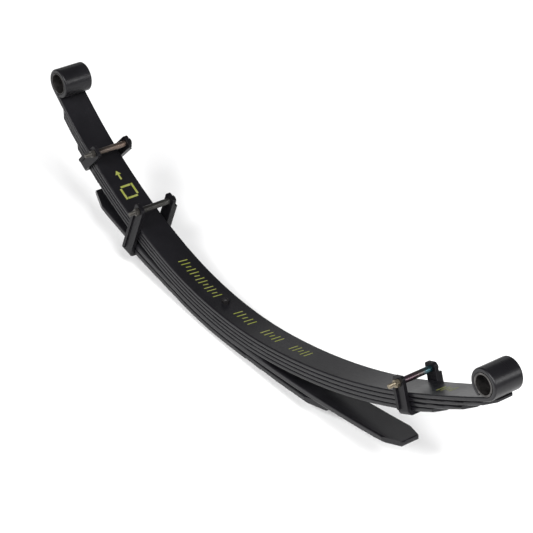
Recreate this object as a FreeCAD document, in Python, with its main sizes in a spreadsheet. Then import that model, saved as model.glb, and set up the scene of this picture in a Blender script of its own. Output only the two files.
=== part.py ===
"""Rear leaf spring of a light four-wheel-drive vehicle, in millimetres.

The spring lies along X, its width is along Y, and +Z is up.  The origin is on the centre bolt's
axis, at the underside of the clamped pack.  The front eye is at -X and the rear eye at +X.
The arms of the leaves curve up from the centre.  A place on an arm is given by its station, the
length along the top face of the main leaf from the centre bolt, and by a depth below that face.
"""
import FreeCAD, Part
import math
import os
import Sketcher
from FreeCAD import Placement, Rotation, Vector

DIMENSIONS = {
    # the leaves
    "leaf_width": 60,
    "leaf_thickness": 7.85,
    "leaf_pitch": 8,
    "leaf_edge_radius": 2.5,
    "overload_long_thickness": 11.9,
    "overload_long_pitch": 12,
    "overload_short_thickness": 11.5,
    "overload_edge_radius": 3,
    # the curve of the main leaf's top face
    "front_seat_radius": 713,
    "front_seat_length": 162,
    "front_arm_radius": 977,
    "front_eye_station": 572.8,
    "rear_seat_radius": 770,
    "rear_seat_length": 162,
    "rear_arm_radius": 1237,
    "rear_arm_end_station": 546,
    "rear_tail_radius": 3000,
    "rear_eye_station": 748.6,
    # the flatter curve of the overload leaves beyond the part that is clamped to the pack
    "front_contact_length": 85,
    "rear_contact_length": 57,
    "front_overload_radius": 2700,
    "rear_overload_radius": 3000,
    "short_overload_radius": 4400,
    # the eyes
    "eye_bore_radius": 20.5,
    "eye_wrap_angle": 312.5,
    "liner_outer_radius": 20.45,
    "front_liner_bore_radius": 19.2,
    "rear_liner_bore_radius": 17,
    # the centre bolt, M8
    "centre_hole_radius": 4.25,
    "centre_shank_radius": 4,
    "centre_head_radius": 8,
    "centre_head_height": 8,
    "centre_nut_flats": 13,
    "centre_nut_height": 6.5,
    "centre_thread_end": 2,
    # the clips
    "strap_width": 25,
    "strap_thickness": 7,
    "strap_inner_width": 63,
    "strap_bend_radius": 3,
    "strap_top": 11,
    "strap_corner_radius": 6,
    "stop_bar_thickness": 6,
    "stop_bar_clearance": 0.8,
    "stop_bar_foot": 7,
    "rib_width": 6.5,
    "rib_height": 3,
    "clip_hole_radius": 4.2,
    "clip_shank_radius": 4,
    "clip_head_flats": 13,
    "clip_head_height": 5.5,
    "clip_nut_height": 6.5,
    "clip_thread_reach": 58.5,
    "sleeve_outer_radius": 6,
    "sleeve_bore_radius": 4.3,
    "sleeve_end_gap": 0.3,
    "rivet_shank_radius": 5,
    "rivet_countersink_radius": 8,
    "rivet_countersink_depth": 3,
    "rivet_head_radius": 8.5,
    "rivet_head_height": 4.5,
    "rivet_clearance": 0.1,
}

THREAD_PITCH = 1.25
THREAD_DEPTH = 0.7
CORNER_MARGIN = 4
TIP_MARGIN = 12
THREADED_LENGTH = 6
NUT_BORE_CLEARANCE = 0.05
MATING_GAP = 0.05

doc = FreeCAD.newDocument("leaf_spring")
sheet = doc.addObject("Spreadsheet::Sheet", "dims")
for row, (alias, value) in enumerate(DIMENSIONS.items(), start=1):
    sheet.set("A%d" % row, alias)
    sheet.set("B%d" % row, str(value))
    sheet.setAlias("B%d" % row, alias)
doc.recompute()


def dim(alias):
    """The plain number of one dimension in the sheet."""
    return float(sheet.get(alias))


PACK_HEIGHT = (4 * dim("leaf_pitch") + dim("overload_long_pitch")
               + dim("overload_short_thickness"))
SUB_PARTS = []


# ---- the curve of the leaves -------------------------------------------------------------

class Arm:
    """One half of a leaf's top face: tangent arcs that start level at the centre bolt.

    side is +1 for the rear and -1 for the front.  Each stretch is an arc's radius and length.
    """

    def __init__(self, side, height, stretches):
        self.side = side
        self.height = height
        self.stretches = stretches

    def angle(self, station):
        """Slope angle in radians at a station."""
        turned = 0.0
        for radius, length in self.stretches:
            step = min(station, length)
            turned += step / radius
            station -= step
        return turned

    def breaks(self, station_from, station_to):
        """The two stations given, with the ends of arcs that lie between them, in order."""
        low, high = sorted((station_from, station_to))
        inner = []
        reached = 0.0
        for _, length in self.stretches:
            reached += length
            if low < reached < high:
                inner.append(reached)
        stations = [low] + inner + [high]
        return stations if station_from < station_to else stations[::-1]

    def point(self, station, depth=0.0):
        """Sketch point (x, z) at a station, a depth below the top face."""
        across, up, turned = 0.0, self.height, 0.0
        remaining = station
        for radius, length in self.stretches:
            step = min(remaining, length)
            after = turned + step / radius
            across += radius * (math.sin(after) - math.sin(turned))
            up += radius * (math.cos(turned) - math.cos(after))
            turned = after
            remaining -= step
        across += depth * math.sin(turned)
        up -= depth * math.cos(turned)
        return Vector(self.side * across, up, 0)

    def tilt(self, station):
        """Angle in degrees from +X to the leaf's tangent, positive where +X is uphill."""
        return self.side * math.degrees(self.angle(station))

    def normal(self, station):
        """Unit sketch vector that points up out of the top face."""
        slope = math.radians(self.tilt(station))
        return Vector(-math.sin(slope), math.cos(slope), 0)

    def arcs(self, station_from, station_to, depth=0.0):
        """Arcs from one station to the other, a depth below the top face."""
        stations = self.breaks(station_from, station_to)
        pieces = []
        for start, end in zip(stations, stations[1:]):
            middle = (start + end) / 2
            pieces.append((self.point(start, depth), self.point(middle, depth),
                           self.point(end, depth)))
        return pieces


def main_arm(side):
    """The top face of the main leaf, which the next three leaves follow."""
    if side < 0:
        lengths = [(dim("front_seat_radius"), dim("front_seat_length")),
                   (dim("front_arm_radius"), dim("front_eye_station"))]
    else:
        lengths = [(dim("rear_seat_radius"), dim("rear_seat_length")),
                   (dim("rear_arm_radius"), dim("rear_arm_end_station") - dim("rear_seat_length")),
                   (dim("rear_tail_radius"), dim("rear_eye_station"))]
    return Arm(side, PACK_HEIGHT, lengths)


def overload_arm(side, depth, outer_radius):
    """The top face of an overload leaf: clamped to the pack at first, then flatter."""
    name = "front" if side < 0 else "rear"
    seat_radius = dim(name + "_seat_radius")
    contact_angle = dim(name + "_contact_length") / seat_radius
    radius = seat_radius + depth
    return Arm(side, PACK_HEIGHT - depth,
               [(radius, radius * contact_angle), (outer_radius, outer_radius)])


FRONT = main_arm(-1)
REAR = main_arm(1)
LONG_DEPTH = 4 * dim("leaf_pitch")
SHORT_DEPTH = LONG_DEPTH + dim("overload_long_pitch")
LONG_FRONT = overload_arm(-1, LONG_DEPTH, dim("front_overload_radius"))
LONG_REAR = overload_arm(1, LONG_DEPTH, dim("rear_overload_radius"))
SHORT_FRONT = overload_arm(-1, SHORT_DEPTH, dim("short_overload_radius"))
SHORT_REAR = overload_arm(1, SHORT_DEPTH, dim("short_overload_radius"))


# ---- making bodies -----------------------------------------------------------------------

def new_body(label, placement=None):
    """An empty body with its own label and place, listed for export."""
    body = doc.addObject("PartDesign::Body", label)
    body.Label = label
    if placement:
        body.Placement = placement
    SUB_PARTS.append(body)
    return body


def new_sketch(body, name, plane, offset=None):
    """A sketch on one of the body's own origin planes."""
    sketch = body.newObject("Sketcher::SketchObject", body.Label + "_" + name)
    support = [item for item in body.Origin.OriginFeatures if item.Role == plane][0]
    sketch.AttachmentSupport = (support, [""])
    sketch.MapMode = "FlatFace"
    if offset:
        sketch.AttachmentOffset = offset
    return sketch


def draw(sketch, pieces):
    """Draw lines (two points) and arcs (three points) end to end, and join their ends."""
    first = sketch.GeometryCount
    for points in pieces:
        if len(points) == 2:
            sketch.addGeometry(Part.LineSegment(*points))
        else:
            sketch.addGeometry(Part.Arc(*points))
    last = sketch.GeometryCount
    for index in range(first, last):
        following = index + 1 if index + 1 < last else first
        for here in (1, 2):
            for there in (1, 2):
                apart = sketch.getPoint(index, here) - sketch.getPoint(following, there)
                if apart.Length < 1e-4:
                    join = Sketcher.Constraint("Coincident", index, here, following, there)
                    sketch.addConstraint(join)


def polygon(sketch, corners):
    """Draw straight lines through the corners and back to the first."""
    points = [Vector(x, y, 0) for x, y in corners]
    draw(sketch, list(zip(points, points[1:] + points[:1])))


def circle(sketch, expression, centre=Vector(0, 0, 0)):
    """A circle whose radius is bound to the sheet."""
    index = sketch.addGeometry(Part.Circle(centre, Vector(0, 0, 1), 1))
    constraint = sketch.addConstraint(Sketcher.Constraint("Radius", index, 1))
    sketch.setExpression("Constraints[%d]" % constraint, expression)


def pad(body, sketch, expression, symmetric=False):
    """Extrude a sketch by a length that is bound to the sheet."""
    feature = body.newObject("PartDesign::Pad", sketch.Label + "_pad")
    feature.Profile = sketch
    feature.SideType = "Symmetric" if symmetric else "One side"
    feature.setExpression("Length", expression)
    doc.recompute()
    return feature


def pocket_through(body, sketch):
    """Cut a sketch through the whole body, both ways, and see that it cuts."""
    before = body.Shape.Volume
    feature = body.newObject("PartDesign::Pocket", sketch.Label + "_pocket")
    feature.Profile = sketch
    feature.SideType = "Symmetric"
    feature.Type = "ThroughAll"
    doc.recompute()
    if body.Shape.Volume >= before:
        raise RuntimeError(feature.Label + " cuts nothing")
    return feature


def turn(body, sketch, kind):
    """Turn a sketch a full turn about its vertical axis, as a Revolution or a Groove."""
    before = 0 if kind == "Revolution" else body.Shape.Volume
    feature = body.newObject("PartDesign::" + kind, sketch.Label + "_" + kind.lower())
    feature.Profile = sketch
    feature.ReferenceAxis = (sketch, ["V_Axis"])
    feature.Angle = 360
    doc.recompute()
    if kind == "Groove" and body.Shape.Volume >= before:
        raise RuntimeError(feature.Label + " cuts nothing")
    return feature


def fillet(body, expression, chosen):
    """Round the edges for which chosen(edge) is true."""
    tip = body.Tip
    names = ["Edge%d" % number for number, edge in enumerate(tip.Shape.Edges, start=1)
             if chosen(edge)]
    feature = body.newObject("PartDesign::Fillet", body.Label + "_rounding")
    feature.Base = (tip, names)
    feature.setExpression("Radius", expression)
    doc.recompute()


# ---- leaves ------------------------------------------------------------------------------

class LeafEnd:
    """One end of a leaf: where it stops, how its corners are cut off and how thin it gets."""

    def __init__(self, station, corner_station, tip_width, taper=0.0, tip_thickness=None):
        self.station = station
        self.corner_station = corner_station
        self.tip_width = tip_width
        self.taper = taper
        self.tip_thickness = tip_thickness


def underside(arm, end, top_depth, bottom_depth):
    """The underside from an arm's tip to the centre, with the tip's taper if it has one."""
    if end.tip_thickness is None:
        return arm.arcs(end.station, 0, bottom_depth)
    taper_station = end.station - end.taper
    tip = arm.point(end.station, top_depth + end.tip_thickness)
    line = (tip, arm.point(taper_station, bottom_depth))
    return [line] + arm.arcs(taper_station, 0, bottom_depth)


def backwards(pieces):
    """The same outline pieces, walked the other way."""
    return [tuple(points[::-1]) for points in pieces[::-1]]


def leaf_outline(front, rear, front_end, rear_end, top_depth, thickness):
    """Side view of a plain leaf."""
    bottom_depth = top_depth + thickness
    top = (backwards(front.arcs(0, front_end.station, top_depth))
           + rear.arcs(0, rear_end.station, top_depth))
    under_rear = underside(rear, rear_end, top_depth, bottom_depth)
    under_front = backwards(underside(front, front_end, top_depth, bottom_depth))
    rear_tip = (top[-1][-1], under_rear[0][0])
    front_tip = (under_front[-1][-1], top[0][0])
    return top + [rear_tip] + under_rear + under_front + [front_tip]


def scroll(arm, station, thickness):
    """The rolled eye from the leaf's top face to its underside, and the eye's centre."""
    bore = dim("eye_bore_radius")
    centre = arm.point(station) + arm.normal(station) * bore
    start = math.radians(arm.tilt(station) - 90)
    wrap = arm.side * math.radians(dim("eye_wrap_angle"))

    def on_circle(radius, angle):
        return centre + Vector(radius * math.cos(angle), radius * math.sin(angle), 0)

    outer = bore + thickness
    inner_arc = tuple(on_circle(bore, start + wrap * part) for part in (0, 0.5, 1))
    outer_arc = tuple(on_circle(outer, start + wrap * part) for part in (1, 0.5, 0))
    return [inner_arc, (inner_arc[-1], outer_arc[0]), outer_arc], centre


def long_edges(body):
    """Picks the edges that run along the leaf at its two sides."""
    half = dim("leaf_width") / 2
    shortest = 15.0

    def chosen(edge):
        at_side = all(abs(abs(vertex.Point.y) - half) < 1e-4 for vertex in edge.Vertexes)
        return at_side and edge.Length > shortest

    return chosen


def trim_corners(body, arm_end_pairs, top_depth):
    """Cut the corners off the ends of a leaf, seen from above."""
    sketch = new_sketch(body, "corners", "XY_Plane")
    half = dim("leaf_width") / 2
    for arm, end in arm_end_pairs:
        corner_x = arm.point(end.corner_station, top_depth).x
        tip_x = arm.point(end.station, top_depth).x
        slope = (half - end.tip_width / 2) / (tip_x - corner_x)
        past_x = tip_x + arm.side * TIP_MARGIN
        past_y = half - slope * (past_x - corner_x)
        for way in (1, -1):
            polygon(sketch, [(corner_x, way * half), (past_x, way * past_y),
                             (past_x, way * (half + CORNER_MARGIN)),
                             (corner_x, way * (half + CORNER_MARGIN))])
    pocket_through(body, sketch)


def centre_hole(body):
    """The hole for the centre bolt."""
    sketch = new_sketch(body, "centre_hole", "XY_Plane")
    circle(sketch, "dims.centre_hole_radius")
    pocket_through(body, sketch)


def plain_leaf(label, front, rear, front_end, rear_end, top_depth, thickness, edge_alias):
    """A leaf with two cut ends, rounded long edges and the centre bolt's hole."""
    body = new_body(label)
    sketch = new_sketch(body, "side_view", "XZ_Plane")
    draw(sketch, leaf_outline(front, rear, front_end, rear_end, top_depth, thickness))
    pad(body, sketch, "dims.leaf_width", symmetric=True)
    fillet(body, "dims." + edge_alias, long_edges(body))
    trim_corners(body, [(front, front_end), (rear, rear_end)], top_depth)
    centre_hole(body)
    return body


def main_leaf():
    """The longest leaf, rolled up into an eye at each end."""
    thickness = dim("leaf_thickness")
    front_station = dim("front_eye_station")
    rear_station = dim("rear_eye_station")
    front_scroll, front_centre = scroll(FRONT, front_station, thickness)
    rear_scroll, rear_centre = scroll(REAR, rear_station, thickness)
    top = backwards(FRONT.arcs(0, front_station)) + REAR.arcs(0, rear_station)
    under = (REAR.arcs(rear_station, 0, thickness)
             + FRONT.arcs(0, front_station, thickness))
    body = new_body("main_leaf")
    sketch = new_sketch(body, "side_view", "XZ_Plane")
    draw(sketch, top + rear_scroll + under + backwards(front_scroll))
    pad(body, sketch, "dims.leaf_width", symmetric=True)
    fillet(body, "dims.leaf_edge_radius", long_edges(body))
    centre_hole(body)
    return front_centre, rear_centre


def eye_liner(label, centre, bore_alias):
    """The thin steel sleeve pressed into an eye."""
    body = new_body(label, Placement(Vector(centre.x, 0, centre.y), Rotation()))
    sketch = new_sketch(body, "ring", "XZ_Plane")
    circle(sketch, "dims.liner_outer_radius")
    circle(sketch, "dims." + bore_alias)
    pad(body, sketch, "dims.leaf_width", symmetric=True)


# ---- fasteners ---------------------------------------------------------------------------

def hexagon(flats):
    """Corners of a hexagon that is a distance across its flats."""
    radius = flats / math.sqrt(3)
    return [(radius * math.cos(math.radians(60 * k)), radius * math.sin(math.radians(60 * k)))
            for k in range(6)]


def bevel_hexagon(body, flats, faces):
    """Turn a hexagon's corners down to a 30 degree cone at each (height, outward way) face."""
    inner = flats / 2
    outer = flats / math.sqrt(3) + 1
    drop = (outer - inner) * math.tan(math.radians(30))
    sketch = new_sketch(body, "bevel", "XZ_Plane")
    for height, way in faces:
        polygon(sketch, [(inner, height), (outer, height - way * drop), (outer, height + way),
                         (inner, height + way)])
    turn(body, sketch, "Groove")


def nut(label, placement, flats_alias, height_alias, bore_radius):
    """A hexagon nut that stands on its local XY plane."""
    body = new_body(label, placement)
    sketch = new_sketch(body, "hexagon", "XY_Plane")
    polygon(sketch, hexagon(dim(flats_alias)))
    sketch.addGeometry(Part.Circle(Vector(0, 0, 0), Vector(0, 0, 1), bore_radius))
    pad(body, sketch, "dims." + height_alias)
    bevel_hexagon(body, dim(flats_alias), [(0, -1), (dim(height_alias), 1)])


def threaded_profile(radius, start, thread_start, end):
    """Half section of a shank along +Z, with a row of thread grooves up to its end."""
    root = radius - THREAD_DEPTH
    points = [(0, start), (radius, start), (radius, thread_start)]
    height = thread_start
    while height + THREAD_PITCH < end - THREAD_DEPTH:
        points.append((root, height + THREAD_PITCH / 2))
        points.append((radius, height + THREAD_PITCH))
        height += THREAD_PITCH
    points += [(root, end), (0, end)]
    return points


def centre_bolt():
    """The bolt that holds the pack together: its round head locates the spring on its seat."""
    body = new_body("centre_bolt")
    shank = dim("centre_shank_radius")
    head = dim("centre_head_radius")
    low = -dim("centre_head_height")
    chamfer = 1.0
    nut_top = PACK_HEIGHT + dim("centre_nut_height")
    end = nut_top + dim("centre_thread_end")
    sketch = new_sketch(body, "section", "XZ_Plane")
    shank_points = threaded_profile(shank, 0, PACK_HEIGHT - THREADED_LENGTH, end)[1:]
    polygon(sketch, [(0, low), (head - chamfer, low), (head, low + chamfer),
                     (head, 0)] + shank_points)
    turn(body, sketch, "Revolution")
    nut("centre_nut", Placement(Vector(0, 0, PACK_HEIGHT + MATING_GAP), Rotation()),
        "centre_nut_flats", "centre_nut_height", shank + NUT_BORE_CLEARANCE)


# ---- clips -------------------------------------------------------------------------------

class Clip:
    """One clip: a U-shaped strap riveted under a leaf, and a bolt with a sleeve over the pack.

    depth is that of the riveted leaf's underside.  height is the length from there to the
    bolt along the strap's legs, which lean from the leaf's normal by lean degrees towards +X.
    """

    def __init__(self, name, arm, station, leaf_top, leaf_bottom, height, lean):
        self.name = name
        self.leaf_thickness = leaf_bottom - leaf_top
        self.height = height
        self.lean = math.radians(lean)
        base = arm.point(station, leaf_bottom)
        self.tilt = arm.tilt(station)
        self.rotation = Rotation(Vector(0, -1, 0), self.tilt)
        self.base = Vector(base.x, 0, base.y)
        self.placement = Placement(self.base, self.rotation)
        self.bolt_x = height * math.sin(self.lean)
        self.bolt_z = height * math.cos(self.lean)
        self.bolt = self.placement.multVec(Vector(self.bolt_x, 0, self.bolt_z))


def strap(clip):
    """The flat bar, bent up into a U, with a square top and round corners to each leg.

    A bar up the outside of the +Y leg stops the bolt's head from turning, and a narrow rib
    runs up the outside of the -Y leg.
    """
    body = new_body(clip.name + "_strap", clip.placement)
    inner = dim("strap_inner_width") / 2
    outer = inner + dim("strap_thickness")
    bend = dim("strap_bend_radius")
    thick = dim("strap_thickness")
    half = dim("strap_width") / 2
    floor = -MATING_GAP
    rise = dim("strap_top")
    top = clip.bolt_z + rise + 1
    bar = outer + dim("stop_bar_thickness")
    stop_drop = dim("clip_head_flats") / 2 + dim("stop_bar_clearance")
    bar_top = clip.bolt_z - stop_drop
    bar_foot = dim("stop_bar_foot")
    diagonal = math.sqrt(0.5)

    def corner(way, radius):
        centre = Vector(way * (inner - bend), floor + bend, 0)
        return (centre + Vector(way * radius, 0, 0),
                centre + Vector(way * radius * diagonal, -radius * diagonal, 0),
                centre + Vector(0, -radius, 0))

    left_out, right_out = corner(-1, bend + thick), corner(1, bend + thick)
    left_in, right_in = corner(-1, bend), corner(1, bend)
    section = new_sketch(body, "section", "YZ_Plane")
    draw(section, [
        (Vector(-outer, top, 0), left_out[0]), left_out, (left_out[-1], right_out[-1]),
        right_out[::-1], (right_out[0], Vector(outer, bar_foot, 0)),
        (Vector(outer, bar_foot, 0), Vector(bar, bar_foot, 0)),
        (Vector(bar, bar_foot, 0), Vector(bar, bar_top, 0)),
        (Vector(bar, bar_top, 0), Vector(outer, bar_top, 0)),
        (Vector(outer, bar_top, 0), Vector(outer, top, 0)),
        (Vector(outer, top, 0), Vector(inner, top, 0)), (Vector(inner, top, 0), right_in[0]),
        right_in, (right_in[-1], left_in[-1]), left_in[::-1],
        (left_in[0], Vector(-inner, top, 0)), (Vector(-inner, top, 0), Vector(-outer, top, 0)),
    ])
    pad(body, section, "4 * dims.strap_width", symmetric=True)

    along = Vector(math.sin(clip.lean), math.cos(clip.lean), 0)
    aside = Vector(math.cos(clip.lean), -math.sin(clip.lean), 0)
    bolt = Vector(clip.bolt_x, clip.bolt_z, 0)
    foot = bolt - along * (clip.height + 2 * thick)
    far = 4 * dim("strap_width")
    rounding = dim("strap_corner_radius")

    def top_corner(way):
        centre = bolt + aside * way * (half - rounding) + along * (rise - rounding)
        return (centre + aside * way * rounding,
                centre + (aside * way + along) * rounding * diagonal,
                centre + along * rounding)

    left_top, right_top = top_corner(-1), top_corner(1)
    blank = new_sketch(body, "outline", "XZ_Plane")
    draw(blank, [
        (foot - aside * half, left_top[0]), left_top, (left_top[-1], right_top[-1]),
        right_top[::-1], (right_top[0], foot + aside * half),
        (foot + aside * half, foot - aside * half),
    ])
    polygon(blank, [(-far, foot.y - far), (far, foot.y - far), (far, top + far),
                    (-far, top + far)])
    pocket_through(body, blank)

    rib_half = dim("rib_width") / 2
    rib_end = bolt - aside * (half - rib_half) - along * stop_drop
    rib_foot = rib_end - along * (rib_end.y - dim("stop_bar_foot")) / along.y
    side = aside * rib_half
    rib = new_sketch(body, "rib", "XZ_Plane", Placement(Vector(0, 0, outer - 1), Rotation()))
    draw(rib, [
        (rib_foot + side, rib_end + side), (rib_end + side, rib_end - side),
        (rib_end - side, rib_foot - side),
        (rib_foot - side, rib_foot - along * rib_half, rib_foot + side),
    ])
    pad(body, rib, "dims.rib_height + 1")

    holes = new_sketch(body, "bolt_hole", "XZ_Plane")
    circle(holes, "dims.clip_hole_radius", bolt)
    pocket_through(body, holes)
    rivet_hole = new_sketch(body, "rivet_hole", "XY_Plane")
    circle(rivet_hole, "dims.rivet_shank_radius + dims.rivet_clearance")
    pocket_through(body, rivet_hole)


def rivet_sizes(clip):
    """The rivet's shank radius and countersink radius, and the heights of its top and cone."""
    top = clip.leaf_thickness - 2 * MATING_GAP
    cone = top - dim("rivet_countersink_depth")
    return dim("rivet_shank_radius"), dim("rivet_countersink_radius"), top, cone


def rivet_seat(body, clip):
    """The countersunk hole for a clip's rivet in the leaf that carries the clip."""
    radius, wide, top, cone = rivet_sizes(clip)
    radius += dim("rivet_clearance")
    wide += dim("rivet_clearance")
    offset = Placement(Vector(clip.base.x, clip.base.z, 0), Rotation(Vector(0, 0, 1), clip.tilt))
    sketch = new_sketch(body, clip.name + "_seat", "XZ_Plane", offset)
    polygon(sketch, [(0, -1), (radius, -1), (radius, cone), (wide, top), (wide, top + 1),
                     (0, top + 1)])
    turn(body, sketch, "Groove")


def rivet(clip):
    """The rivet: flush in the leaf, with a domed head under the strap."""
    body = new_body(clip.name + "_rivet", clip.placement)
    radius, wide, top, cone = rivet_sizes(clip)
    head = dim("rivet_head_radius")
    rise = dim("rivet_head_height")
    floor = -dim("strap_thickness") - 2 * MATING_GAP
    dome = (head * head + rise * rise) / (2 * rise)
    halfway = math.asin(head / dome) / 2
    middle = Vector(dome * math.sin(halfway), floor - rise + dome - dome * math.cos(halfway), 0)
    points = [Vector(x, z, 0) for x, z in
              [(0, floor - rise), (head, floor), (radius, floor), (radius, cone), (wide, top),
               (0, top)]]
    sketch = new_sketch(body, "section", "XZ_Plane")
    draw(sketch, [(points[0], middle, points[1])]
         + list(zip(points[1:], points[2:] + points[:1])))
    turn(body, sketch, "Revolution")


def clip_bolt(clip):
    """The bolt through both legs, its head at +Y, and the nut on its long thread at -Y."""
    outer = dim("strap_inner_width") / 2 + dim("strap_thickness")
    head_face = outer + MATING_GAP
    reach = head_face + dim("clip_thread_reach")
    along_bolt = clip.rotation.multiply(Rotation(Vector(1, 0, 0), 90))
    side = clip.rotation.multVec(Vector(0, 1, 0))
    body = new_body(clip.name + "_bolt", Placement(clip.bolt + side * head_face, along_bolt))
    head = new_sketch(body, "head", "XY_Plane")
    polygon(head, hexagon(dim("clip_head_flats")))
    feature = pad(body, head, "dims.clip_head_height")
    feature.Reversed = True
    doc.recompute()
    bevel_hexagon(body, dim("clip_head_flats"), [(-dim("clip_head_height"), -1)])
    shank = new_sketch(body, "shank", "XZ_Plane")
    thread_start = head_face + outer - 2
    polygon(shank, threaded_profile(dim("clip_shank_radius"), -1, thread_start, reach))
    turn(body, shank, "Revolution")
    nut(clip.name + "_nut", Placement(clip.bolt - side * (outer + MATING_GAP), along_bolt),
        "clip_head_flats", "clip_nut_height", dim("clip_shank_radius") + NUT_BORE_CLEARANCE)


def sleeve(clip):
    """The spacer tube that turns freely on the bolt between the legs."""
    body = new_body(clip.name + "_sleeve", Placement(clip.bolt, clip.rotation))
    sketch = new_sketch(body, "ring", "XZ_Plane")
    circle(sketch, "dims.sleeve_outer_radius")
    circle(sketch, "dims.sleeve_bore_radius")
    pad(body, sketch, "dims.strap_inner_width - 2 * dims.sleeve_end_gap", symmetric=True)


# ---- the spring --------------------------------------------------------------------------

PITCH = dim("leaf_pitch")
THICK = dim("leaf_thickness")
LONG_THICK = dim("overload_long_thickness")
SHORT_THICK = dim("overload_short_thickness")

FRONT_CLIP = Clip("front_clip", FRONT, station=421, leaf_top=3 * PITCH,
                  leaf_bottom=3 * PITCH + THICK, height=61.6, lean=11.5)
MIDDLE_CLIP = Clip("middle_clip", SHORT_FRONT, station=261, leaf_top=0, leaf_bottom=SHORT_THICK,
                   height=112.5, lean=7.3)
REAR_CLIP = Clip("rear_clip", REAR, station=536.5, leaf_top=3 * PITCH,
                 leaf_bottom=3 * PITCH + THICK, height=51.5, lean=4.5)

front_eye, rear_eye = main_leaf()
eye_liner("front_eye_liner", front_eye, "front_liner_bore_radius")
eye_liner("rear_eye_liner", rear_eye, "rear_liner_bore_radius")
plain_leaf("second_leaf", FRONT, REAR, LeafEnd(551, 523, 36), LeafEnd(756, 732, 32, 90, 5.4),
           PITCH, THICK, "leaf_edge_radius")
plain_leaf("third_leaf", FRONT, REAR, LeafEnd(545, 519, 36, 60, 5.4),
           LeafEnd(703, 680, 34, 70, 5.4), 2 * PITCH, THICK, "leaf_edge_radius")
fourth = plain_leaf("fourth_leaf", FRONT, REAR, LeafEnd(482, 456, 36),
                    LeafEnd(625, 603, 34, 50, 6), 3 * PITCH, THICK, "leaf_edge_radius")
rivet_seat(fourth, FRONT_CLIP)
rivet_seat(fourth, REAR_CLIP)
plain_leaf("overload_leaf_long", LONG_FRONT, LONG_REAR, LeafEnd(403, 364, 36, 60, 9),
           LeafEnd(518, 479, 36, 60, 9), 0, LONG_THICK, "overload_edge_radius")
short = plain_leaf("overload_leaf_short", SHORT_FRONT, SHORT_REAR, LeafEnd(279, 248, 36),
                   LeafEnd(322, 274, 36), 0, SHORT_THICK, "overload_edge_radius")
rivet_seat(short, MIDDLE_CLIP)
centre_bolt()
for one_clip in (FRONT_CLIP, MIDDLE_CLIP, REAR_CLIP):
    strap(one_clip)
    rivet(one_clip)
    clip_bolt(one_clip)
    sleeve(one_clip)

doc.recompute()
for item in doc.Objects:
    if "Invalid" in item.State or "Error" in item.State:
        raise RuntimeError("%s failed: %s" % (item.Label, item.State))
os.makedirs("parts", exist_ok=True)
for sub_part in SUB_PARTS:
    if sub_part.Shape.isNull() or not sub_part.Shape.isValid():
        raise RuntimeError(sub_part.Label + " has no valid shape")
    if len(sub_part.Shape.Solids) != 1:
        raise RuntimeError(sub_part.Label + " is not one solid")
    sub_part.Shape.exportStep("parts/" + sub_part.Label + ".step")
    box = sub_part.Shape.BoundBox
    print("%-22s %10.0f mm3  x %.1f %.1f  y %.1f %.1f  z %.1f %.1f" % (
        sub_part.Label, sub_part.Shape.Volume, box.XMin, box.XMax, box.YMin, box.YMax,
        box.ZMin, box.ZMax))
print("front eye", front_eye, "rear eye", rear_eye)
for one_clip in (FRONT_CLIP, MIDDLE_CLIP, REAR_CLIP):
    print(one_clip.name, "bolt", one_clip.bolt, "tilt", one_clip.tilt)
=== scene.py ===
"""Looks for the leaf spring: materials, paint marks, light, floor and camera, in metres."""

import bisect
import math

import bmesh
import bpy
from mathutils import Matrix, Vector
from mathutils.bvhtree import BVHTree


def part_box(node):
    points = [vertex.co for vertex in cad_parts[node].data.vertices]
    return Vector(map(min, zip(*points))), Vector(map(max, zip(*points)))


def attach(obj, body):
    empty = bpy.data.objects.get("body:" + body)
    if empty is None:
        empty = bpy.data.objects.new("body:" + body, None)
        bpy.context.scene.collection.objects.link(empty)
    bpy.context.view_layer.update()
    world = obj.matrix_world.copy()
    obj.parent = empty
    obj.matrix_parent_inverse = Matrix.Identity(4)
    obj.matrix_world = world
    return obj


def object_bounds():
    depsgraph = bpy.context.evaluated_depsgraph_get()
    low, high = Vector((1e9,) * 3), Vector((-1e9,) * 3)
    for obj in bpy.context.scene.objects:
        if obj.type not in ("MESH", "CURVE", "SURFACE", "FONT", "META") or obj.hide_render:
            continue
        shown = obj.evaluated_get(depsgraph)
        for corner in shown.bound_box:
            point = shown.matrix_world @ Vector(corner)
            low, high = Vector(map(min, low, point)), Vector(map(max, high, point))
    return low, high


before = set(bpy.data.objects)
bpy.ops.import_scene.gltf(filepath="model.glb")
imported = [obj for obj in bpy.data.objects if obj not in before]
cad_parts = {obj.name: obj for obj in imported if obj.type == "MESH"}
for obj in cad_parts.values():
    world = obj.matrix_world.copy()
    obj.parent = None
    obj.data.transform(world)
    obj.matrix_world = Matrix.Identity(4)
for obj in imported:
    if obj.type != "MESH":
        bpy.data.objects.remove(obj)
CAD_LOW, CAD_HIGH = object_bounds()

PACK_BODY = "spring_pack"
CLIPS = ("front_clip", "middle_clip", "rear_clip")
LEAVES = ("main_leaf", "second_leaf", "third_leaf", "fourth_leaf", "overload_leaf_long",
          "overload_leaf_short")
LEAF_HALF_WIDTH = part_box("main_leaf")[1].y


# ---- node trees --------------------------------------------------------------------------

# Socket numbers of a Mix node that is set to colours.
MIX_AMOUNT = 0
MIX_FIRST = 6
MIX_SECOND = 7
MIX_RESULT = 2

BEVEL_SAMPLES = 6
# How far the rounded normal agrees with the plain one, beside an edge and on it.
AGREES_ON_FACE = 0.985
AGREES_ON_EDGE = 0.86


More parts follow.
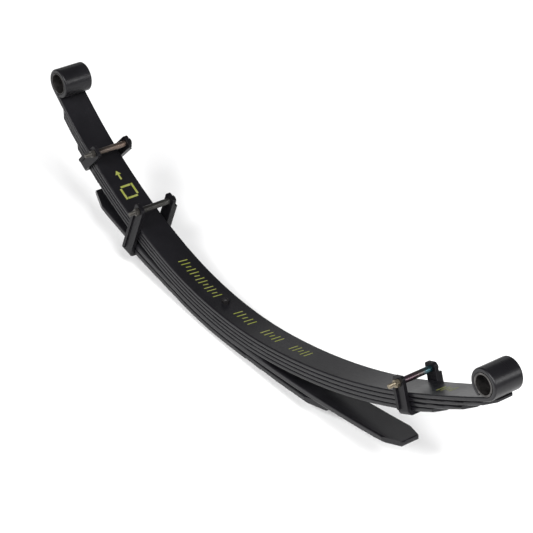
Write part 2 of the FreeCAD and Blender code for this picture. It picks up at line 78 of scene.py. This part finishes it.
class Tree:
    """A new material's node tree, with short ways to add and link nodes."""

    def __init__(self, name):
        self.material = bpy.data.materials.new(name)
        self.material.use_nodes = True
        self.nodes = self.material.node_tree.nodes
        self.links = self.material.node_tree.links
        self.shader = self.nodes["Principled BSDF"]
        self.place = self.nodes.new("ShaderNodeTexCoord").outputs["Object"]

    def link(self, source, target):
        """Link an output to an input."""
        self.links.new(source, target)

    def stretched(self, scale):
        """Object coordinates scaled by three factors: one below 1 draws a pattern out."""
        node = self.nodes.new("ShaderNodeMapping")
        node.inputs["Scale"].default_value = scale
        self.link(self.place, node.inputs["Vector"])
        return node.outputs["Vector"]

    def noise(self, size, detail, roughness, scale=(1, 1, 1)):
        """Noise whose features are about size metres across before they are stretched."""
        node = self.nodes.new("ShaderNodeTexNoise")
        node.inputs["Scale"].default_value = 1 / size
        node.inputs["Detail"].default_value = detail
        node.inputs["Roughness"].default_value = roughness
        self.link(self.stretched(scale), node.inputs["Vector"])
        return node.outputs["Fac"]

    def spots(self, size):
        """Distance to scattered points about size metres apart."""
        node = self.nodes.new("ShaderNodeTexVoronoi")
        node.inputs["Scale"].default_value = 1 / size
        self.link(self.place, node.inputs["Vector"])
        return node.outputs["Distance"]

    def fit(self, value, low, high, to_low=0.0, to_high=1.0):
        """A value's range from low to high, moved to another range and clamped."""
        node = self.nodes.new("ShaderNodeMapRange")
        self.link(value, node.inputs["Value"])
        node.inputs["From Min"].default_value = low
        node.inputs["From Max"].default_value = high
        node.inputs["To Min"].default_value = to_low
        node.inputs["To Max"].default_value = to_high
        return node.outputs["Result"]

    def maths(self, operation, first, second):
        """A Math node on an output and either another output or a number."""
        node = self.nodes.new("ShaderNodeMath")
        node.operation = operation
        self.link(first, node.inputs[0])
        if isinstance(second, (int, float)):
            node.inputs[1].default_value = second
        else:
            self.link(second, node.inputs[1])
        return node.outputs[0]

    def blend(self, amount, first, second):
        """Mix of two colours, each a tuple or an output."""
        node = self.nodes.new("ShaderNodeMix")
        node.data_type = "RGBA"
        self.link(amount, node.inputs[MIX_AMOUNT])
        for number, colour in ((MIX_FIRST, first), (MIX_SECOND, second)):
            if isinstance(colour, tuple):
                node.inputs[number].default_value = (*colour, 1.0)
            else:
                self.link(colour, node.inputs[number])
        return node.outputs[MIX_RESULT]

    def ramp(self, value, stops):
        """A colour ramp with stops of (position, colour)."""
        node = self.nodes.new("ShaderNodeValToRGB")
        while len(node.color_ramp.elements) < len(stops):
            node.color_ramp.elements.new(0.5)
        for element, (position, colour) in zip(node.color_ramp.elements, stops):
            element.position = position
            element.color = (*colour, 1.0)
        self.link(value, node.inputs["Fac"])
        return node.outputs["Color"]

    def worn_edges(self, radius):
        """A mask that is 1 on convex and concave edges and 0 on plain faces."""
        bevel = self.nodes.new("ShaderNodeBevel")
        bevel.inputs["Radius"].default_value = radius
        bevel.samples = BEVEL_SAMPLES
        geometry = self.nodes.new("ShaderNodeNewGeometry")
        dot = self.nodes.new("ShaderNodeVectorMath")
        dot.operation = "DOT_PRODUCT"
        self.link(bevel.outputs["Normal"], dot.inputs[0])
        self.link(geometry.outputs["Normal"], dot.inputs[1])
        return self.fit(dot.outputs["Value"], AGREES_ON_FACE, AGREES_ON_EDGE)

    def axis(self, name):
        """One coordinate of the object space."""
        node = self.nodes.new("ShaderNodeSeparateXYZ")
        self.link(self.place, node.inputs[0])
        return node.outputs[name]

    def bump(self, layers):
        """Bump from (height output, distance in metres, strength) layers."""
        normal = None
        for height, distance, strength in layers:
            node = self.nodes.new("ShaderNodeBump")
            node.inputs["Distance"].default_value = distance
            node.inputs["Strength"].default_value = strength
            self.link(height, node.inputs["Height"])
            if normal is not None:
                self.link(normal, node.inputs["Normal"])
            normal = node.outputs["Normal"]
        self.link(normal, self.shader.inputs["Normal"])

    def finish(self, colour, roughness, metallic):
        """Plug in the colour and roughness and set the metallic value."""
        self.link(colour, self.shader.inputs["Base Color"])
        self.link(roughness, self.shader.inputs["Roughness"])
        self.shader.inputs["Metallic"].default_value = metallic
        return self.material


# ---- materials ---------------------------------------------------------------------------

# Sizes of the black paint's patterns and depths of its relief, in metres.
CLOUD_SIZE = 0.09
STREAK_SIZE = 0.004
PEEL_SIZE = 0.0011
PIT_SIZE = 0.006
DUST_SIZE = 0.0025
RUB_SIZE = 0.012
EDGE_RADIUS = 0.0012
PEEL_DEPTH = 0.00006
STREAK_DEPTH = 0.00015
PIT_DEPTH = 0.0001

CLOUD_LIFT = 1.5
DUST_SHARE = 0.35
RUB_SHARE = 0.5
COAT_WEIGHT = 0.02
COAT_ROUGHNESS = 0.3


def black_paint(name, base, grey, rough, streak, gloss):
    """Satin black paint over rolled steel: faint mill streaks, fine peel, dust, rubbed edges.

    rough is the lowest and highest roughness, streak stretches the mill streaks, and gloss is
    the specular level.
    """
    tree = Tree(name)
    cloud = tree.noise(CLOUD_SIZE, detail=5, roughness=0.6)
    streaks = tree.noise(STREAK_SIZE, detail=3, roughness=0.5, scale=streak)
    peel = tree.noise(PEEL_SIZE, detail=2, roughness=0.5)
    pits = tree.fit(tree.spots(PIT_SIZE), low=0.0, high=0.22)
    dust = tree.noise(DUST_SIZE, detail=6, roughness=0.75)
    lifted = tuple(value * CLOUD_LIFT for value in base)
    tone = tree.blend(tree.fit(cloud, low=0.35, high=0.7), base, lifted)
    dusty = tree.maths("MULTIPLY", tree.fit(dust, low=0.56, high=0.72),
                       tree.fit(cloud, low=0.4, high=0.65))
    tone = tree.blend(tree.maths("MULTIPLY", dusty, DUST_SHARE), tone, grey)
    patches = tree.fit(tree.noise(RUB_SIZE, detail=4, roughness=0.6), low=0.42, high=0.66)
    rub = tree.maths("MULTIPLY", tree.worn_edges(EDGE_RADIUS), patches)
    tone = tree.blend(tree.maths("MULTIPLY", rub, RUB_SHARE), tone, grey)
    mixed = tree.maths("ADD", tree.maths("MULTIPLY", cloud, 0.6),
                       tree.maths("MULTIPLY", streaks, 0.4))
    low_rough, high_rough = rough
    roughness = tree.fit(mixed, low=0.3, high=0.7, to_low=low_rough, to_high=high_rough)
    tree.bump([(peel, PEEL_DEPTH, 0.5), (streaks, STREAK_DEPTH, 0.45), (pits, PIT_DEPTH, 0.3)])
    tree.shader.inputs["Specular IOR Level"].default_value = gloss
    tree.shader.inputs["Coat Weight"].default_value = COAT_WEIGHT
    tree.shader.inputs["Coat Roughness"].default_value = COAT_ROUGHNESS
    return tree.finish(tone, roughness, metallic=0.0)


STAIN_SIZE = 0.014
RING_SIZE = 0.0006
RING_DEPTH = 0.00005
ACROSS_THE_BORE = (0.25, 3, 0.25)
GRAIN_SIZE = 0.003
GRAIN_DEPTH = 0.0001


def bare_steel(name, base, dark, rough):
    """Dull oiled steel with fine turned rings round the Y axis and darker stains."""
    tree = Tree(name)
    stains = tree.noise(STAIN_SIZE, detail=5, roughness=0.65)
    rings = tree.noise(RING_SIZE, detail=2, roughness=0.5, scale=ACROSS_THE_BORE)
    grain = tree.noise(GRAIN_SIZE, detail=4, roughness=0.6)
    tone = tree.blend(tree.fit(stains, low=0.38, high=0.66), base, dark)
    tree.bump([(rings, RING_DEPTH, 0.5), (grain, GRAIN_DEPTH, 0.2)])
    low_rough, high_rough = rough
    roughness = tree.fit(stains, low=0.3, high=0.7, to_low=low_rough, to_high=high_rough)
    return tree.finish(tone, roughness, metallic=0.85)


DRIFT_SIZE = 0.011
DRIFT_SPAN = 0.12
GRIME_SIZE = 0.005
GRIME_COLOUR = (0.03, 0.028, 0.026)
GRIME_SHARE = 0.6
GRIME_DEPTH = 0.00006
DRAW_SIZE = 0.0008
DRAW_DEPTH = 0.00004
ALONG_THE_BOLT = (3, 0.12, 3)


def plated(name, stops, rough, metallic):
    """Zinc plating whose tint drifts along Y, with cloudy patches and fine draw lines."""
    tree = Tree(name)
    along = tree.fit(tree.axis("Y"), low=-LEAF_HALF_WIDTH, high=LEAF_HALF_WIDTH)
    drift = tree.fit(tree.noise(DRIFT_SIZE, detail=3, roughness=0.5), low=0.2, high=0.8,
                     to_low=-DRIFT_SPAN, to_high=DRIFT_SPAN)
    tint = tree.ramp(tree.maths("ADD", along, drift), stops)
    grime = tree.noise(GRIME_SIZE, detail=5, roughness=0.7)
    soiled = tree.maths("MULTIPLY", tree.fit(grime, low=0.55, high=0.8), GRIME_SHARE)
    tone = tree.blend(soiled, tint, GRIME_COLOUR)
    lines = tree.noise(DRAW_SIZE, detail=2, roughness=0.5, scale=ALONG_THE_BOLT)
    tree.bump([(lines, DRAW_DEPTH, 0.45), (grime, GRIME_DEPTH, 0.25)])
    low_rough, high_rough = rough
    roughness = tree.fit(grime, low=0.3, high=0.75, to_low=low_rough, to_high=high_rough)
    return tree.finish(tone, roughness, metallic)


MARK_GREEN = (0.165, 0.19, 0.02)
MARK_YELLOW = (0.23, 0.235, 0.065)
MARK_FADED = (0.05, 0.055, 0.02)
FADE_SHARE = 0.55
THIN_SIZE = 0.0022
THIN_DEPTH = 0.0001
PATCH_SIZE = 0.012


def mark_paint(name):
    """Stencilled yellow-green paint, thin and uneven on the black."""
    tree = Tree(name)
    thin = tree.noise(THIN_SIZE, detail=5, roughness=0.7)
    patch = tree.noise(PATCH_SIZE, detail=3, roughness=0.5)
    fade = tree.maths("MULTIPLY", tree.fit(thin, low=0.48, high=0.68),
                      tree.fit(patch, low=0.35, high=0.6))
    tone = tree.blend(tree.fit(patch, low=0.35, high=0.7), MARK_GREEN, MARK_YELLOW)
    tone = tree.blend(tree.maths("MULTIPLY", fade, FADE_SHARE), tone, MARK_FADED)
    tree.bump([(thin, THIN_DEPTH, 0.5)])
    roughness = tree.fit(thin, low=0.3, high=0.7, to_low=0.5, to_high=0.72)
    return tree.finish(tone, roughness, metallic=0.0)


FLOOR_WHITE = (0.93, 0.93, 0.93)
FLOOR_WHITER = (0.96, 0.96, 0.96)
FLOOR_TONE_SIZE = 0.6
FLOOR_SHEEN_SIZE = 0.3


def floor_material():
    """Plain pale backdrop with the slightest mottling."""
    tree = Tree("floor_white")
    mottle = tree.noise(FLOOR_TONE_SIZE, detail=2, roughness=0.5)
    sheen = tree.noise(FLOOR_SHEEN_SIZE, detail=2, roughness=0.5)
    tone = tree.blend(mottle, FLOOR_WHITE, FLOOR_WHITER)
    roughness = tree.fit(sheen, low=0.3, high=0.7, to_low=0.85, to_high=0.95)
    return tree.finish(tone, roughness, metallic=0.0)


ALONG_LEAF = (0.08, 1.6, 0.6)
EVEN = (1, 1, 1)
LEAF_BLACK = (0.0048, 0.0046, 0.0056)
CLIP_BLACK = (0.0036, 0.0034, 0.0042)
HARDWARE_BLACK = (0.006, 0.0055, 0.006)
DUST_GREY = (0.06, 0.058, 0.064)
HARDWARE_GREY = (0.09, 0.085, 0.08)
STEEL_GREY = (0.085, 0.08, 0.078)
STEEL_DARK = (0.018, 0.017, 0.016)

leaf_paint = black_paint("leaf_paint", LEAF_BLACK, DUST_GREY, rough=(0.26, 0.40),
                         streak=ALONG_LEAF, gloss=0.22)
clip_paint = black_paint("clip_paint", CLIP_BLACK, DUST_GREY, rough=(0.3, 0.48),
                         streak=EVEN, gloss=0.11)
hardware_black = black_paint("hardware_black", HARDWARE_BLACK, HARDWARE_GREY,
                             rough=(0.34, 0.55), streak=EVEN, gloss=0.2)
liner_steel = bare_steel("liner_steel", STEEL_GREY, STEEL_DARK, rough=(0.32, 0.52))

# Tints across the spring, from the near face at 0 to the far face at 1.
BRONZE = (
    (0.0, (0.05, 0.042, 0.037)),
    (0.45, (0.12, 0.095, 0.08)),
    (1.0, (0.15, 0.11, 0.09)),
)
OLIVE = (
    (0.0, (0.03, 0.029, 0.027)),
    (0.6, (0.042, 0.041, 0.038)),
    (1.0, (0.056, 0.055, 0.052)),
)
RAINBOW = (
    (0.0, (0.085, 0.06, 0.075)),
    (0.35, (0.075, 0.05, 0.058)),
    (0.6, (0.085, 0.072, 0.07)),
    (0.8, (0.045, 0.08, 0.09)),
    (1.0, (0.025, 0.07, 0.085)),
)
BRASS = (
    (0.0, (0.17, 0.145, 0.105)),
    (0.25, (0.05, 0.038, 0.026)),
    (1.0, (0.03, 0.028, 0.025)),
)
DARK = (
    (0.0, (0.06, 0.056, 0.05)),
    (0.3, (0.024, 0.022, 0.02)),
    (1.0, (0.02, 0.02, 0.02)),
)
SLEEVE_METALS = {
    "front_clip": plated("front_sleeve_metal", BRONZE, rough=(0.3, 0.46), metallic=0.9),
    "middle_clip": plated("middle_sleeve_metal", OLIVE, rough=(0.34, 0.5), metallic=0.85),
    "rear_clip": plated("rear_sleeve_metal", RAINBOW, rough=(0.24, 0.4), metallic=0.9),
}
BOLT_METALS = {
    "front_clip": plated("front_bolt_metal", DARK, rough=(0.36, 0.55), metallic=0.75),
    "middle_clip": plated("middle_bolt_metal", DARK, rough=(0.36, 0.55), metallic=0.75),
    "rear_clip": plated("rear_bolt_metal", BRASS, rough=(0.3, 0.5), metallic=0.85),
}
MARK_MATERIAL = mark_paint("mark_paint")


def dress(node_name, material):
    """Give a CAD node its finished material."""
    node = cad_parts[node_name]
    if not node.material_slots:
        node.data.materials.append(material)
    for slot in node.material_slots:
        slot.material = material


for leaf_name in LEAVES:
    dress(leaf_name, leaf_paint)
for liner_name in ("front_eye_liner", "rear_eye_liner"):
    dress(liner_name, liner_steel)
for bolt_name in ("centre_bolt", "centre_nut"):
    dress(bolt_name, hardware_black)
for clip_name in CLIPS:
    dress(clip_name + "_strap", clip_paint)
    dress(clip_name + "_rivet", hardware_black)
    dress(clip_name + "_sleeve", SLEEVE_METALS[clip_name])
    dress(clip_name + "_bolt", BOLT_METALS[clip_name])
    dress(clip_name + "_nut", BOLT_METALS[clip_name])


# ---- paint marks on the main leaf's top face ---------------------------------------------

class TopFace:
    """The main leaf's top face, found by rays on the CAD mesh, unrolled to a flat strip.

    A place on it is a station, the length along the face from the centre bolt in metres
    (positive towards the rear eye), and a y across the leaf.
    """

    STEP = 0.004
    OFF_CENTRE = 0.02
    UNDER_EYE = 0.06
    RAY_RISE = 0.1

    def __init__(self):
        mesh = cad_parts["main_leaf"].data
        points = [vertex.co.copy() for vertex in mesh.vertices]
        faces = [tuple(polygon.vertices) for polygon in mesh.polygons]
        tree = BVHTree.FromPolygons(points, faces)
        low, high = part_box("main_leaf")
        self.samples = []
        count = int((high.x - low.x - 2 * self.UNDER_EYE) / self.STEP)
        for index in range(count):
            x = low.x + self.UNDER_EYE + index * self.STEP
            start = Vector((x, self.OFF_CENTRE, high.z + self.RAY_RISE))
            hit = tree.ray_cast(start, Vector((0, 0, -1)))
            self.samples.append(Vector((x, hit[0].z)))
        self.stations = [0.0]
        for before, after in zip(self.samples, self.samples[1:]):
            self.stations.append(self.stations[-1] + (after - before).length)
        centre = next(i for i, sample in enumerate(self.samples) if sample.x >= 0)
        shift = self.stations[centre] - self.samples[centre].x
        self.stations = [station - shift for station in self.stations]

    def place(self, station, y, height):
        """The point at a station and y, a height out of the face."""
        index = bisect.bisect_right(self.stations, station)
        index = max(1, min(len(self.stations) - 1, index))
        start = self.samples[index - 1]
        end = self.samples[index]
        span = self.stations[index] - self.stations[index - 1]
        point = start.lerp(end, (station - self.stations[index - 1]) / span)
        along = (end - start).normalized()
        return Vector((point.x - along.y * height, y, point.y + along.x * height))


FACE = TopFace()
# How far the paint stands out of the face, how far it is sunk in it, and its facet length.
MARK_TOP = 0.00014
MARK_SUNK = 0.00012
MARK_CELL = 0.003


def mark(name, outlines):
    """A piece of thin paint from flat outlines of (station, y) corners, wrapped on the face."""
    build = bmesh.new()
    for outline in outlines:
        flat = [build.verts.new((station, y, 0)) for station, y in outline]
        build.faces.new(flat)
    low = min(station for outline in outlines for station, _ in outline)
    high = max(station for outline in outlines for station, _ in outline)
    for cut in range(1, int((high - low) / MARK_CELL) + 1):
        geometry = build.verts[:] + build.edges[:] + build.faces[:]
        bmesh.ops.bisect_plane(build, geom=geometry, plane_co=(low + cut * MARK_CELL, 0, 0),
                               plane_no=(1, 0, 0))
    bmesh.ops.recalc_face_normals(build, faces=build.faces[:])
    for face in build.faces:
        if face.normal.z < 0:
            face.normal_flip()
    # The upper layer is at z = 1 and the lower one at z = 0 until both are wrapped.
    grown = bmesh.ops.extrude_face_region(build, geom=build.faces[:])
    for item in grown["geom"]:
        if isinstance(item, bmesh.types.BMVert):
            item.co.z = 1.0
    bmesh.ops.recalc_face_normals(build, faces=build.faces[:])
    for vertex in build.verts:
        height = MARK_TOP if vertex.co.z > 0.5 else -MARK_SUNK
        vertex.co = FACE.place(vertex.co.x, vertex.co.y, height)
    mesh = bpy.data.meshes.new(name)
    build.to_mesh(mesh)
    build.free()
    piece = bpy.data.objects.new(name, mesh)
    bpy.context.collection.objects.link(piece)
    mesh.materials.append(MARK_MATERIAL)
    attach(piece, PACK_BODY)


def bar(station, y, length, width, slant=0.0):
    """A bar: length along the leaf, width across it, its two ends shifted by the slant."""
    half_length = length / 2
    half_width = width / 2
    return [(station - half_length - slant, y - half_width),
            (station + half_length - slant, y - half_width),
            (station + half_length + slant, y + half_width),
            (station - half_length + slant, y + half_width)]


ARROW_TIP = -0.3725
ARROW_NECK = -0.3635
ARROW_END = -0.3515
ARROW_HALF_WIDTH = 0.0062
ARROW_LINE = 0.0036


def arrow():
    """A plain arrow towards the front eye: a triangle and a shaft."""
    head = [(ARROW_TIP, 0), (ARROW_NECK, -ARROW_HALF_WIDTH), (ARROW_NECK, ARROW_HALF_WIDTH)]
    shaft = bar((ARROW_NECK + ARROW_END) / 2, 0, ARROW_END - ARROW_NECK, ARROW_LINE)
    return [head, shaft]


SQUARE_STATION = -0.322
SQUARE_HALF = 0.0155
SQUARE_LINE = 0.0042
SQUARE_GAP = SQUARE_HALF * 0.35


def square_outline():
    """A square frame, open at two opposite corners like a stencil."""
    middle = SQUARE_HALF - SQUARE_LINE / 2
    along = 2 * SQUARE_HALF - SQUARE_GAP
    outlines = []
    for way in (1, -1):
        outlines.append(bar(SQUARE_STATION - way * SQUARE_GAP / 2, way * middle,
                            along, SQUARE_LINE))
        outlines.append(bar(SQUARE_STATION + way * middle, way * (SQUARE_GAP - SQUARE_LINE) / 2,
                            SQUARE_LINE, along - SQUARE_LINE))
    return outlines


TICK_HEIGHT = 0.019
TICK_SHORT = 0.55
TICK_EVERY = 3
# Shares of the pitch.
TICK_LINE = 0.2
TICK_SLANT = 0.12


def tick_row(first, last, pitch):
    """A stencilled scale: slanted bars at a pitch, every third one shorter."""
    bars = []
    for index in range(int((last - first) / pitch) + 1):
        short = index % TICK_EVERY == TICK_EVERY - 1
        height = TICK_HEIGHT * (TICK_SHORT if short else 1.0)
        bars.append(bar(first + index * pitch, 0, pitch * TICK_LINE, height,
                        pitch * TICK_SLANT))
    return bars


CLOSE_PITCH = 0.0092
WIDE_PITCH = 0.0105
mark("paint_arrow", arrow())
mark("paint_square", square_outline())
mark("paint_scale_front", tick_row(-0.135, -0.024, CLOSE_PITCH))
mark("paint_scale_middle", tick_row(0.038, 0.088, WIDE_PITCH))
mark("paint_scale_rear", tick_row(0.118, 0.166, WIDE_PITCH))
mark("paint_scale_last", tick_row(0.2, 0.252, WIDE_PITCH))
mark("paint_scale_eye", tick_row(0.6, 0.638, WIDE_PITCH))


# ---- floor, light and camera -------------------------------------------------------------

FLOOR_HALF = 14.0
FLOOR_GAP = 0.001
WORLD_COLOUR = (1.0, 1.0, 1.02, 1.0)
WORLD_STRENGTH = 0.12


def floor():
    """A wide pale floor just under the locating head."""
    mesh = bpy.data.meshes.new("floor")
    level = CAD_LOW.z - FLOOR_GAP
    corners = [(-FLOOR_HALF, -FLOOR_HALF, level), (FLOOR_HALF, -FLOOR_HALF, level),
               (FLOOR_HALF, FLOOR_HALF, level), (-FLOOR_HALF, FLOOR_HALF, level)]
    mesh.from_pydata(corners, [], [(0, 1, 2, 3)])
    piece = bpy.data.objects.new("floor", mesh)
    mesh.materials.append(floor_material())
    bpy.context.collection.objects.link(piece)


def area_light(name, place, target, width, height, power):
    """A soft box at a place, turned to a target, with its power in watts."""
    data = bpy.data.lights.new(name, "AREA")
    data.shape = "RECTANGLE"
    data.size = width
    data.size_y = height
    data.energy = power
    light = bpy.data.objects.new(name, data)
    light.location = place
    light.rotation_mode = "QUATERNION"
    light.rotation_quaternion = (Vector(target) - Vector(place)).to_track_quat("-Z", "Y")
    bpy.context.collection.objects.link(light)


def studio():
    """Dim grey surroundings, two strong soft boxes on the camera's side, two weak ones."""
    world = bpy.data.worlds.new("studio")
    world.use_nodes = True
    background = world.node_tree.nodes["Background"]
    background.inputs["Color"].default_value = WORLD_COLOUR
    background.inputs["Strength"].default_value = WORLD_STRENGTH
    bpy.context.scene.world = world
    area_light("key", place=(3.4, -0.9, 4.2), target=(0.2, 0, 0),
               width=2.2, height=2.2, power=290)
    area_light("fill", place=(0.9, -4.2, 3.6), target=(0, 0, 0),
               width=2.6, height=1.6, power=350)
    area_light("side", place=(3.6, 2.2, 2.2), target=(0.6, 0, 0.2),
               width=0.9, height=1.4, power=46)
    area_light("back", place=(-5.2, 4.4, 2.3), target=(0.2, 0, 0),
               width=3.4, height=1.6, power=18)


CAMERA_PLACE = (2.4395, -1.9917, 2.3572)
CAMERA_AZIMUTH = math.radians(-49.52)
CAMERA_ELEVATION = math.radians(35.11)
CAMERA_ROLL = math.radians(5.01)
CAMERA_LENS = 144.37
CAMERA_SENSOR = 36
CAMERA_REACH = 100


def camera():
    """The camera at the viewing angle of a product picture, about four metres away."""
    forward = Vector((math.sin(CAMERA_AZIMUTH) * math.cos(CAMERA_ELEVATION),
                      math.cos(CAMERA_AZIMUTH) * math.cos(CAMERA_ELEVATION),
                      -math.sin(CAMERA_ELEVATION)))
    level_right = forward.cross(Vector((0, 0, 1))).normalized()
    level_down = forward.cross(level_right)
    right = level_right * math.cos(CAMERA_ROLL) - level_down * math.sin(CAMERA_ROLL)
    down = level_right * math.sin(CAMERA_ROLL) + level_down * math.cos(CAMERA_ROLL)
    data = bpy.data.cameras.new("camera")
    data.lens = CAMERA_LENS
    data.sensor_width = CAMERA_SENSOR
    data.clip_end = CAMERA_REACH
    piece = bpy.data.objects.new("camera", data)
    turned = Matrix((right, -down, -forward)).transposed().to_4x4()
    piece.matrix_world = Matrix.Translation(Vector(CAMERA_PLACE)) @ turned
    bpy.context.collection.objects.link(piece)
    bpy.context.scene.camera = piece


floor()
studio()
camera()
bpy.context.scene.view_settings.view_transform = "Standard"
